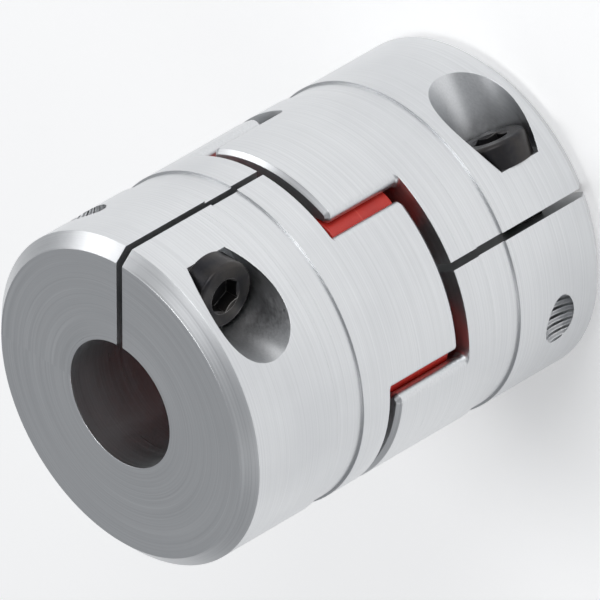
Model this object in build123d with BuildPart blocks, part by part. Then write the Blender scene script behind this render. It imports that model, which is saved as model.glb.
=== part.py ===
"""Backlash-free jaw coupling, size 28: two split clamp hubs, an elastomer spider and two clamp screws.

The coupling stands on the end face of its lower hub, with its axis along Z. Both hubs are one and the
same part: the upper one is turned end over end, so that its three jaws stand between the lower hub's.
"""
from build123d import *
from math import acos, asin, cos, degrees, radians, sin, tan
import os

# ---- Driving dimensions (mm, degrees) --------------------------------------------------------------
# Coupling
axial_gap = 2.5             # between the spider and each hub's rim
tip_gap = 2.5               # between the jaws' tips and the other hub's rim

# Clamp hub
hub_radius = 32.5
hub_length = 35.0           # end face to rim, which is also the length of the bore
bore_radius = 12.5
end_chamfer = 2.5           # on the outer end face
groove_start = 22.0         # shallow turned groove, measured from the end face
groove_width = 6.5
groove_depth = 0.45
slit_width = 1.5

# Jaws
jaws_per_hub = 3
mouth_width = 2.8           # narrowest gap between the facing lips of two jaws
heel_offset = 4.0           # from the legs' centres in to the insides of the jaws
jaw_lip_radius = 1.6        # round along the long outer edges
jaw_heel_radius = 1.0       # round along the long inner edges
jaw_root_radius = 0.7       # round between a jaw's sides and the rim
jaw_tip_chamfer = 0.8

# Elastomer spider
spider_width = 15.0
ring_width = 4.5            # between the spider's hole and the outside of its ring
leg_depth = 8.5             # from the hub's outside in to the legs' centres
leg_neck_radius = 1.0       # round between a leg and the ring
leg_edge_radius = 0.3
leg_clearance = 0.05        # between a leg and a jaw's flank
ring_clearance = 0.5        # between the spider's ring and the inside of the jaws

# Clamp screw, M8 with a low socket head
screw_radius = 4.0
screw_length = 20.0         # under the head
screw_end_chamfer = 1.0
head_radius = 6.5
head_height = 5.0
head_edge_radius = 0.8
hexagon_width = 6.0         # across the flats
hexagon_depth = 2.9
mouth_radius = 3.5          # of the hexagon's conical lead-in
mouth_angle = 50.0          # between the cone's side and its axis

# Seat of the screw in the hub
screw_inset = 7.5           # from the hub's outside in to the screw's axis
screw_height = 11.5         # from the end face
seat_offset = 10.0          # from the middle of the slit to the counterbore's floor
seat_clearance = 1.0        # around the head
shank_clearance = 0.5       # around the plain stretch of the shank
thread_clearance = 0.05     # around the threaded stretch
thread_runout = 1.0         # tapped length past the screw's end
thread_depth = 0.6          # from the screw's outside in to the core of the tapped hole

# ---- Values that follow ----------------------------------------------------------------------------
legs = 2 * jaws_per_hub
half_gap = 180 / legs       # from the middle of a jaw to the middle of the next leg
jaw_tip = hub_length + spider_width + 2 * axial_gap - tip_gap
spider_bottom = hub_length + axial_gap
coupling_length = 2 * spider_bottom + spider_width
leg_circle_radius = hub_radius - leg_depth
jaw_inner_radius = leg_circle_radius - heel_offset
ring_radius = jaw_inner_radius - ring_clearance
screw_offset = hub_radius - screw_inset
reach = 2 * hub_radius      # takes a cut safely out of the hub


def polar(radius, angle):
    """The point at this radius and angle around the coupling's axis."""
    return Vector(radius * cos(radians(angle)), radius * sin(radians(angle)))


# ---- Section of one jaw, about the X axis ----------------------------------------------------------
# The flanks are hollowed around the legs' centres, and the lips' rounds touch both flank and rim. Past
# its lips the outline runs on outside the rim like a roof: there the rim itself bounds the jaw.
lip_circle_radius = hub_radius - jaw_lip_radius
half_mouth_angle = degrees(asin((mouth_width / 2 + jaw_lip_radius) / lip_circle_radius))
lip_angle = half_gap - half_mouth_angle
leg_centre = polar(leg_circle_radius, half_gap)
lip_centre = polar(lip_circle_radius, lip_angle)
lip_direction = (lip_centre - leg_centre).normalized()
flank_radius = (lip_centre - leg_centre).length - jaw_lip_radius
leg_radius = flank_radius - leg_clearance

heel_cosine = leg_circle_radius**2 + jaw_inner_radius**2 - flank_radius**2
heel_cosine /= 2 * leg_circle_radius * jaw_inner_radius
heel_angle = half_gap - degrees(acos(heel_cosine))

heel = polar(jaw_inner_radius, heel_angle)
lip_start = leg_centre + lip_direction * flank_radius
lip_end = polar(hub_radius, lip_angle)
lip_middle = lip_centre + (polar(1, lip_angle) - lip_direction).normalized() * jaw_lip_radius
ridge = Vector(hub_radius / cos(radians(lip_angle)), 0)

with BuildSketch() as jaw_section:
    with BuildLine():
        ThreePointArc(polar(jaw_inner_radius, 0), polar(jaw_inner_radius, heel_angle / 2), heel)
        RadiusArc(heel, lip_start, -flank_radius)
        ThreePointArc(lip_start, lip_middle, lip_end)
        Line(lip_end, ridge)
        mirror(about=Plane.XZ)
    make_face()
    fillet(jaw_section.vertices().sort_by(Axis.X)[:2], jaw_heel_radius)
    fillet(jaw_section.vertices().sort_by(Axis.X)[-1], hub_radius / 2)

# ---- Cutter that clears the space around the jaws and rounds their roots ---------------------------
with BuildPart() as jaw_cutter:
    with BuildSketch(Plane.XY.offset(hub_length)):
        Circle(reach)
        with PolarLocations(0, jaws_per_hub, start_angle=2 * half_gap):
            add(jaw_section.sketch, mode=Mode.SUBTRACT)
    extrude(amount=reach)
    floor = jaw_cutter.faces().sort_by(Axis.Z)[0]
    fillet(floor.inner_wires().edges(), jaw_root_radius)

# ---- Clamp hub: end face at Z 0, slit along +X, screw head on the +Y side --------------------------
screw_axis = Plane(origin=(screw_offset, 0, screw_height), x_dir=(1, 0, 0), z_dir=(0, 1, 0))

with BuildPart() as hub:
    # Turned blank, from the end face to the jaws' tips
    with BuildSketch(Plane.XZ):
        with BuildLine():
            Polyline(
                (bore_radius, 0),
                (hub_radius - end_chamfer, 0),
                (hub_radius, end_chamfer),
                (hub_radius, groove_start),
                (hub_radius - groove_depth, groove_start),
                (hub_radius - groove_depth, groove_start + groove_width),
                (hub_radius, groove_start + groove_width),
                (hub_radius, jaw_tip),
                (bore_radius, jaw_tip),
                close=True,
            )
        make_face()
    revolve(axis=Axis.Z)

    # Jaws, milled out of the blank
    add(jaw_cutter.part, mode=Mode.SUBTRACT)
    chamfer(hub.faces().group_by(Axis.Z)[-1].edges(), jaw_tip_chamfer)

    # Slit, from the bore out through one side
    with BuildSketch():
        with Locations((reach / 2, 0)):
            Rectangle(reach, slit_width)
    extrude(amount=hub_length, mode=Mode.SUBTRACT)

    # Screw seat and clearance hole on one side of the slit, tapped hole on the other
    with Locations(screw_axis.offset(reach)):
        CounterBoreHole(
            screw_radius + shank_clearance,
            head_radius + seat_clearance,
            reach - seat_offset,
            depth=reach,
        )
    with Locations(screw_axis):
        Hole(screw_radius + thread_clearance, depth=screw_length - seat_offset + thread_runout)
        Hole(screw_radius - thread_depth, depth=reach)

# ---- Elastomer spider: a round leg in each space between two jaws, joined by a ring ----------------
with BuildPart() as elastomer_spider:
    with BuildSketch(Plane.XY.offset(spider_bottom)) as spider_section:
        Circle(ring_radius)
        with PolarLocations(leg_circle_radius, legs):
            Circle(leg_radius)
        fillet(spider_section.vertices(), leg_neck_radius)
        Circle(ring_radius - ring_width, mode=Mode.SUBTRACT)
    extrude(amount=spider_width)
    end_faces = elastomer_spider.faces().filter_by(GeomType.PLANE)
    fillet([edge for face in end_faces for edge in face.outer_wire().edges()], leg_edge_radius)

# ---- Clamp screw: under side of the head at Z 0, shank down ----------------------------------------
with BuildPart() as screw:
    Cylinder(head_radius, head_height, align=(Align.CENTER, Align.CENTER, Align.MIN))
    fillet(screw.edges().sort_by(Axis.Z)[-1], head_edge_radius)
    Cylinder(screw_radius, screw_length, align=(Align.CENTER, Align.CENTER, Align.MAX))
    chamfer(screw.edges().sort_by(Axis.Z)[0], screw_end_chamfer)

    # Hexagon socket with a conical lead-in that runs out on the flats
    with BuildSketch(Plane.XY.offset(head_height)):
        RegularPolygon(hexagon_width / 2, 6, major_radius=False)
    extrude(amount=-hexagon_depth, mode=Mode.SUBTRACT)
    with BuildSketch(Plane.XY.offset(head_height)):
        Circle(mouth_radius)
    extrude(amount=-mouth_radius / 2 / tan(radians(mouth_angle)), taper=mouth_angle, mode=Mode.SUBTRACT)

# ---- Hubs and screws in their places ---------------------------------------------------------------
# A hub is placed by its end face: x runs along the slit, z into the coupling. The upper hub is the
# lower one turned by half a turn about a level line half-way between the two slits.
hub_places = {
    "lower": Plane(origin=(0, 0, 0), x_dir=polar(1, half_gap), z_dir=(0, 0, 1)),
    "upper": Plane(origin=(0, 0, coupling_length), x_dir=polar(1, 3 * half_gap), z_dir=(0, 0, -1)),
}
pieces = [elastomer_spider]
elastomer_spider.part.label = "elastomer_spider"

for end, place in hub_places.items():
    with BuildPart() as clamp_hub:
        add(hub.part.moved(place.location))
    clamp_hub.part.label = f"clamp_hub_{end}"

    with BuildPart() as clamp_screw:
        add(screw.part.moved(place.location * screw_axis.offset(seat_offset).location))
    clamp_screw.part.label = f"clamp_screw_{end}"
    pieces += [clamp_hub, clamp_screw]

os.makedirs("parts", exist_ok=True)
for piece in pieces:
    export_step(piece.part, f"parts/{piece.part.label}.step")
    print(f"{piece.part.label}: {piece.part.volume / 1000:.2f} cm3")
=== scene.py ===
import math

import bpy
from mathutils import Matrix, Vector


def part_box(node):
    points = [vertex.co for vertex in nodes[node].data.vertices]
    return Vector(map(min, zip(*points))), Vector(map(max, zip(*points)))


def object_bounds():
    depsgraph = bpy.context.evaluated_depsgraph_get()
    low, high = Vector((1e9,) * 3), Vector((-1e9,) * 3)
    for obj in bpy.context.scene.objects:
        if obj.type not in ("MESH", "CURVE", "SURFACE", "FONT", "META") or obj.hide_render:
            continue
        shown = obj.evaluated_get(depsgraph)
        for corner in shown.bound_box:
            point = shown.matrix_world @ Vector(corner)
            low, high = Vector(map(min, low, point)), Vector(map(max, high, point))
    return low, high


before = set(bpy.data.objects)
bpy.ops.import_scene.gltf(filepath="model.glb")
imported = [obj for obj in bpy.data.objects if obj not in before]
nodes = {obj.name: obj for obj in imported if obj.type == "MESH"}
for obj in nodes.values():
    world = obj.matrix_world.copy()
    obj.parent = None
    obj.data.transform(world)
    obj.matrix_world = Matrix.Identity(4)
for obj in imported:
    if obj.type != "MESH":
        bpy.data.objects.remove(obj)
cad_box = [list(corner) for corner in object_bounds()]


def middle_height(name):
    """Height of the middle of a CAD piece."""
    low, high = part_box(name)
    return (low.z + high.z) / 2


print("nodes:", sorted(nodes))

# %% [markdown]
# ## Small helpers for node materials
# Every finish is a procedural material, which is a tree of nodes. Building one takes the same few steps
# again and again, so a small class keeps the recipes readable. Its methods add a node and fill its
# sockets, do sums, map ranges, mix colours, and make noise and relief. A socket that is given another
# socket is linked to it, and one that is given a plain value keeps that value.
# %% Helpers


class Finish:
    """A node material that is built up step by step."""

    def __init__(self, name):
        self.material = bpy.data.materials.new(name)
        self.material.use_nodes = True
        self.tree = self.material.node_tree
        self.tree.nodes.clear()
        self.output = self.tree.nodes.new("ShaderNodeOutputMaterial")

    def add(self, kind, inputs=None, **settings):
        """Add a node of this kind, with its settings and the values or links of its sockets."""
        node = self.tree.nodes.new("ShaderNode" + kind)
        for key, value in settings.items():
            setattr(node, key, value)
        for key, value in (inputs or {}).items():
            if isinstance(value, bpy.types.NodeSocket):
                self.tree.links.new(value, node.inputs[key])
            else:
                node.inputs[key].default_value = value
        return node

    def math(self, operation, *values):
        """The result of one sum."""
        return self.add("Math", dict(enumerate(values)), operation=operation).outputs[0]

    def ramp(self, value, low, high, to_low=0.0, to_high=1.0):
        """A value that runs from one level to another while the input runs from low to high."""
        inputs = {"Value": value, "From Min": low, "From Max": high, "To Min": to_low, "To Max": to_high}
        return self.add("MapRange", inputs, clamp=True).outputs[0]

    def mix(self, factor, first, second):
        """A colour between two others."""
        node = self.add("Mix", {"Factor": factor}, data_type="RGBA")
        for socket, colour in ((node.inputs[6], first), (node.inputs[7], second)):
            if isinstance(colour, bpy.types.NodeSocket):
                self.tree.links.new(colour, socket)
            else:
                socket.default_value = (*colour, 1)
        return node.outputs[2]

    def noise(self, vector, scale, detail=3.0):
        """Cloudy noise between 0 and 1."""
        return self.add("TexNoise", {"Vector": vector, "Scale": scale, "Detail": detail}).outputs[0]

    def relief(self, height, strength, distance, under=None):
        """Surface relief from a height, laid over the relief that is already there."""
        inputs = {"Strength": strength, "Distance": distance, "Height": height}
        if under is not None:
            inputs["Normal"] = under
        return self.add("Bump", inputs).outputs[0]

    def finish(self, **inputs):
        """Close the recipe with its shader and return the material."""
        named = {key.replace("_", " "): value for key, value in inputs.items()}
        shader = self.add("BsdfPrincipled", named)
        self.tree.links.new(shader.outputs[0], self.output.inputs["Surface"])
        return self.material


print("helpers ready")

# %% [markdown]
# ## Threads of the clamp screws
# Both clamp screws are M8, with a pitch of 1.25 mm. Their threads show at the open end of each tapped
# hole, and the shanks carry them as well. A thread is a helix: its height rises and falls once for every
# pitch along the screw, and shifts by one pitch in every turn around it. A formula draws that on the
# plain cylinders, where modelled turns would cost many thousands of faces. The screws lie across the
# slits, 25 mm from the coupling's axis. Each axis is kept as a point in the middle of its slit and a
# direction that leads to the screw's head.
# %% Threads of the clamp screws
PITCH = 0.00125
THREAD_RELIEF = 0.0003
SCREW_REACH = 0.025         # from the coupling's axis to a screw's axis


def direction(degrees):
    """The level direction at this angle around the coupling's axis."""
    angle = math.radians(degrees)
    return Vector((math.cos(angle), math.sin(angle), 0))


SCREW_AXES = []
for name, slit, head in (("clamp_screw_lower", 30, 120), ("clamp_screw_upper", 90, 0)):
    origin = direction(slit) * SCREW_REACH
    origin.z = middle_height(name)
    SCREW_AXES.append((origin, direction(head)))


def thread_height(f, place, outer_radius, end):
    """Height of the thread near either screw axis, up to a radius and a distance along the axis."""
    total = 0.0
    for origin, along in SCREW_AXES:
        offset = f.add("VectorMath", {0: place, 1: origin}, operation="SUBTRACT").outputs[0]
        travel, level, across = (
            f.add("VectorMath", {0: offset, 1: axis}, operation="DOT_PRODUCT").outputs["Value"]
            for axis in (along, Vector((0, 0, 1)), along.cross(Vector((0, 0, 1))))
        )
        squares = f.math("ADD", f.math("MULTIPLY", level, level), f.math("MULTIPLY", across, across))
        near = f.math("LESS_THAN", squares, outer_radius**2)
        before_end = f.math("LESS_THAN", travel, end)
        turns = f.math("ADD", f.math("MULTIPLY", travel, 2 * math.pi / PITCH),
                       f.math("ARCTAN2", across, level))
        wave = f.math("MULTIPLY", f.math("SINE", turns), f.math("MULTIPLY", near, before_end))
        total = f.math("ADD", total, wave)
    return total


print("screw axes at", [tuple(round(v, 4) for v in origin) for origin, _ in SCREW_AXES])

# %% [markdown]
# ## Hub aluminium
# The hubs are turned from bar on a lathe, so their outside and bore carry fine rings around the axis,
# and their end faces carry fine circles. The jaws are milled afterwards, with a cutter that travels
# along the axis, so their sides show faint lines along it. All these marks follow from where a point
# lies and which way its surface faces, so one material finds them by itself, and no image has to be
# wrapped around the part. Sharp edges are broken by about two tenths of a millimetre, which a bevel node
# shows as a thin highlight.
# %% Hub aluminium
RING_PITCH = 0.00022        # between turning marks
MILLING_PITCH = 0.00035     # between milling marks, at the middle of the jaws
JAW_MIDDLE = 0.026          # radius at the middle of the jaws
OUTSIDE_FROM = 0.0319       # just inside the shallow groove
BORE_UP_TO = 0.0128         # just outside the bore
TOOL_WANDER = 0.0002        # how far a tool strays from its path
MILLED_DEPTH = 0.6          # of milling marks, with turning marks as 1
BAND_SCALE = 3200.0         # of the bands that turning leaves, across the rings
EDGE_BREAK = 0.00018
MARK_RELIEF = 0.00003
TAPPED_RADIUS = 0.00345     # just outside the core of the tapped hole
TAPPED_END = -0.001         # the tapped hole lies past the slit, away from the head


def hub_finish():
    f = Finish("hub_aluminium")
    place = f.add("TexCoord").outputs["Object"]
    x, y, z = f.add("SeparateXYZ", {0: place}).outputs[:3]
    radius = f.math("SQRT", f.math("ADD", f.math("MULTIPLY", x, x), f.math("MULTIPLY", y, y)))
    angle = f.math("ARCTAN2", y, x)
    normal = f.add("NewGeometry").outputs["True Normal"]
    axial = f.math("ABSOLUTE", f.add("SeparateXYZ", {0: normal}).outputs[2])
    end_face = f.ramp(axial, 0.75, 0.95)

    # Points on the outside or in the bore count as turned, and the rest of the sides as milled.
    outside = f.math("GREATER_THAN", radius, OUTSIDE_FROM)
    in_bore = f.math("LESS_THAN", radius, BORE_UP_TO)
    turned = f.math("MAXIMUM", outside, in_bore)

    # Each cut wanders a little, so a slow noise shifts the rings.
    wander = f.math("MULTIPLY", f.noise(place, 60.0, 2.0), TOOL_WANDER)
    ring_turns = 2 * math.pi / RING_PITCH
    rings_side = f.math("SINE", f.math("MULTIPLY", f.math("ADD", z, wander), ring_turns))
    rings_end = f.math("SINE", f.math("MULTIPLY", f.math("ADD", radius, wander), ring_turns))
    milled = f.math("SINE", f.math("MULTIPLY", angle, 2 * math.pi * JAW_MIDDLE / MILLING_PITCH))
    milled_share = f.math("SUBTRACT", MILLED_DEPTH, f.math("MULTIPLY", turned, MILLED_DEPTH))
    side = f.math("ADD", f.math("MULTIPLY", rings_side, turned), f.math("MULTIPLY", milled, milled_share))
    side_share = f.math("SUBTRACT", 1.0, end_face)
    marks = f.math("ADD", f.math("MULTIPLY", rings_end, end_face), f.math("MULTIPLY", side, side_share))

    # Stretched noise gives the uneven bands that real turning leaves: long around, short along.
    stretched = f.add("CombineXYZ", {0: f.math("MULTIPLY", angle, 0.5),
                                     1: f.math("MULTIPLY", z, BAND_SCALE),
                                     2: f.math("MULTIPLY", radius, BAND_SCALE)}).outputs[0]
    bands = f.noise(stretched, 1.0, 4.0)
    grain = f.noise(place, 2500.0, 2.0)

    # Handling leaves a faint cloudiness.
    cloud = f.noise(place, 35.0, 4.0)
    colour = f.mix(f.ramp(bands, 0.3, 0.7), (0.66, 0.67, 0.68), (0.76, 0.77, 0.78))
    colour = f.mix(f.ramp(cloud, 0.45, 0.75, 0.0, 0.35), colour, (0.55, 0.56, 0.58))
    rough = f.math("ADD", f.ramp(bands, 0.25, 0.75, 0.24, 0.38), f.ramp(cloud, 0.3, 0.7, 0.0, 0.08))

    # The broken edges come first, the thread lies over them and the fine marks over both.
    edge = f.add("Bevel", {"Radius": EDGE_BREAK}, samples=6).outputs[0]
    thread = f.relief(thread_height(f, place, TAPPED_RADIUS, TAPPED_END), 1.0, THREAD_RELIEF, edge)
    uneven = f.math("ADD", f.math("MULTIPLY", bands, 0.5), f.math("MULTIPLY", grain, 0.2))
    height = f.math("ADD", f.math("MULTIPLY", marks, 0.35), uneven)
    surface = f.relief(height, 0.22, MARK_RELIEF, thread)
    return f.finish(Base_Color=colour, Metallic=1.0, Roughness=rough, Normal=surface)


aluminium = hub_finish()
print("hub aluminium:", len(aluminium.node_tree.nodes), "nodes")

# %% [markdown]
# ## Red polyurethane
# The spider is injection moulded from hard polyurethane. It is slightly see-through, so light spreads
# a little way into it, and its skin copies the fine spark-eroded texture of the mould. A faint parting
# line runs round the middle, where the two halves of the mould met. Subsurface scattering gives the soft
# depth of the plastic, which a plain red gloss would lack.
# %% Red polyurethane
PARTING_CORE = 0.00008      # half the width of the parting line at its full height
PARTING_FOOT = 0.00025      # half its width where it has died away
SKIN_RELIEF = 0.00006


def spider_finish():
    f = Finish("spider_elastomer")
    place = f.add("TexCoord").outputs["Object"]
    z = f.add("SeparateXYZ", {0: place}).outputs[2]
    from_middle = f.math("ABSOLUTE", f.math("SUBTRACT", z, middle_height("elastomer_spider")))
    parting = f.ramp(from_middle, PARTING_CORE, PARTING_FOOT, 1.0, 0.0)

    cloud = f.noise(place, 90.0, 3.0)
    texture = f.noise(place, 3200.0, 2.0)
    colour = f.mix(f.ramp(cloud, 0.35, 0.7), (0.50, 0.018, 0.012), (0.66, 0.035, 0.020))
    colour = f.mix(f.math("MULTIPLY", parting, 0.35), colour, (0.75, 0.10, 0.07))
    rough = f.ramp(texture, 0.3, 0.7, 0.34, 0.5)
    height = f.math("ADD", f.math("MULTIPLY", texture, 0.5), parting)
    return f.finish(
        Base_Color=colour, Roughness=rough, Normal=f.relief(height, 0.35, SKIN_RELIEF), IOR=1.5,
        Subsurface_Weight=0.18, Subsurface_Radius=(0.9, 0.12, 0.06), Subsurface_Scale=0.0015,
        Coat_Weight=0.12, Coat_Roughness=0.25,
    )


polyurethane = spider_finish()
print("red polyurethane:", len(polyurethane.node_tree.nodes), "nodes")

# %% [markdown]
# ## Black-oxide steel
# The clamp screws are cold-headed alloy steel, blackened in a hot salt bath and oiled. The coat is
# thin, so it looks deep grey with a brown or blue cast, and it wears through to paler steel where a key
# turns in the socket and along the rim of the head. A bevel node bends the normal only near an edge, so
# the angle between the bent and the true normal tells where the coat is rubbed.
# %% Black-oxide steel
RUBBED_WIDTH = 0.00022      # of the worn edges
COAT_RELIEF = 0.00002
SHANK_RADIUS = 0.0041       # just outside the shank
SHANK_END = 0.0095          # just under the head


def screw_finish():
    f = Finish("screw_steel")
    place = f.add("TexCoord").outputs["Object"]
    cloud = f.noise(place, 220.0, 4.0)
    grain = f.noise(place, 5000.0, 3.0)
    normal = f.add("NewGeometry").outputs["True Normal"]
    edge = f.add("Bevel", {"Radius": RUBBED_WIDTH}, samples=6).outputs[0]
    bend = f.add("VectorMath", {0: normal, 1: edge}, operation="DOT_PRODUCT").outputs["Value"]
    rubbed = f.math("MULTIPLY", f.ramp(bend, 0.995, 0.90), f.ramp(cloud, 0.40, 0.62))
    colour = f.mix(f.ramp(cloud, 0.35, 0.65), (0.030, 0.030, 0.034), (0.060, 0.055, 0.052))
    colour = f.mix(rubbed, colour, (0.36, 0.35, 0.34))
    rough = f.ramp(grain, 0.3, 0.7, 0.30, 0.46)
    thread = f.relief(thread_height(f, place, SHANK_RADIUS, SHANK_END), 1.0, THREAD_RELIEF, edge)
    surface = f.relief(grain, 0.3, COAT_RELIEF, thread)
    return f.finish(Base_Color=colour, Metallic=0.85, Roughness=rough, Normal=surface)


steel = screw_finish()
print("black-oxide steel:", len(steel.node_tree.nodes), "nodes")

# %% [markdown]
# ## Dress the CAD pieces
# The CAD shapes are right, so they stay, and each takes the finish of its own material. The node names
# say what each piece is.
# %% Dress the pieces
FINISHES = {"clamp_hub": aluminium, "elastomer_spider": polyurethane, "clamp_screw": steel}
for name, node in nodes.items():
    material = next(m for start, m in FINISHES.items() if name.startswith(start))
    node.data.materials.clear()
    node.data.materials.append(material)
    print(name, "->", material.name)

# %% [markdown]
# ## Floor and surround
# The coupling stands on the end of its lower hub. A plain pale floor keeps the attention on it. The
# floor glows a little by itself, so that it stays pale without more light on the coupling. It lies just
# below the end face, so that the two surfaces don't flicker into each other. Past the floor the camera
# sees plain white, while the pieces are lit by a dimmer room, so that pale metal doesn't wash out.
# %% Floor and surround
FLOOR_SIZE = 6.0
FLOOR_DROP = 0.0002
FLOOR_GLOW = 0.26
ROOM_STRENGTH = 0.42

bpy.ops.mesh.primitive_plane_add(size=FLOOR_SIZE, location=(0, 0, cad_box[0][2] - FLOOR_DROP))
floor = bpy.context.object
floor.name = "floor"
floor_finish = Finish("floor")
floor_place = floor_finish.add("TexCoord").outputs["Object"]
floor_tone = floor_finish.mix(floor_finish.noise(floor_place, 6.0), (0.86, 0.86, 0.86), (0.90, 0.90, 0.90))
floor.data.materials.append(floor_finish.finish(
    Base_Color=floor_tone, Roughness=0.8, Emission_Color=(1, 1, 1, 1), Emission_Strength=FLOOR_GLOW))

world = bpy.data.worlds.new("studio")
bpy.context.scene.world = world
world.use_nodes = True
surround = world.node_tree
surround.nodes.clear()
room = surround.nodes.new("ShaderNodeBackground")
room.inputs["Color"].default_value = (0.80, 0.82, 0.85, 1)
room.inputs["Strength"].default_value = ROOM_STRENGTH
white = surround.nodes.new("ShaderNodeBackground")
white.inputs["Color"].default_value = (1, 1, 1, 1)
rays = surround.nodes.new("ShaderNodeLightPath")
chosen = surround.nodes.new("ShaderNodeMixShader")
surround.links.new(rays.outputs["Is Camera Ray"], chosen.inputs[0])
surround.links.new(room.outputs[0], chosen.inputs[1])
surround.links.new(white.outputs[0], chosen.inputs[2])
surround.links.new(chosen.outputs[0], surround.nodes.new("ShaderNodeOutputWorld").inputs[0])
print("floor at", round(floor.location.z, 4))

# %% [markdown]
# ## Lamps
# Metal shows mostly what it reflects. A few large soft discs of light around the coupling give its
# turned faces broad bright bands, which small hard lamps would shrink to sharp spots. Each lamp has a
# place, a diameter and a power in watts, and is turned towards the middle of the coupling.
# %% Lamps
target = Vector((0, 0, (cad_box[0][2] + cad_box[1][2]) / 2))
LAMPS = {
    "key": ((0.25, 0.80, 0.45), 0.45, 2.2),
    "fill": ((0.85, -0.35, 0.35), 0.50, 0.9),
    "end_light": ((-0.10, 0.20, 1.00), 0.45, 2.6),
    "rim": ((-0.60, 0.40, 0.35), 0.40, 1.0),
}
for name, (place, size, power) in LAMPS.items():
    lamp = bpy.data.lights.new(name, "AREA")
    lamp.shape = "DISK"
    lamp.size = size
    lamp.energy = power
    lamp_object = bpy.data.objects.new(name, lamp)
    lamp_object.location = place
    lamp_object.rotation_euler = (target - Vector(place)).to_track_quat("-Z", "Y").to_euler()
    bpy.context.scene.collection.objects.link(lamp_object)
print("lamps:", ", ".join(LAMPS))

# %% [markdown]
# ## Camera
# The view is isometric: the camera looks along the diagonal of a cube and is rolled, so that the
# coupling's axis runs up to the right. A very long lens from far away makes the perspective vanish, so
# parallel edges stay parallel. The distance follows from the width that the view has to take in.
# %% Camera
VIEW_WIDTH = 0.10676
LENS = 1200.0               # millimetres, as the sensor
SENSOR = 36.0
back = Vector((1, 1, 1)).normalized()
right = Vector((1, 0, -1)).normalized()
up = back.cross(right)
camera_data = bpy.data.cameras.new("camera")
camera_data.lens = LENS
camera_data.sensor_width = SENSOR
distance = VIEW_WIDTH * LENS / SENSOR
camera_data.clip_end = 4 * distance
camera = bpy.data.objects.new("camera", camera_data)
turn = Matrix((right, up, back)).transposed().to_4x4()
camera.matrix_world = Matrix.Translation(target + back * distance) @ turn
bpy.context.scene.collection.objects.link(camera)
bpy.context.scene.camera = camera
bpy.context.scene.view_settings.view_transform = "Standard"
print("camera at", [round(v, 3) for v in camera.location])
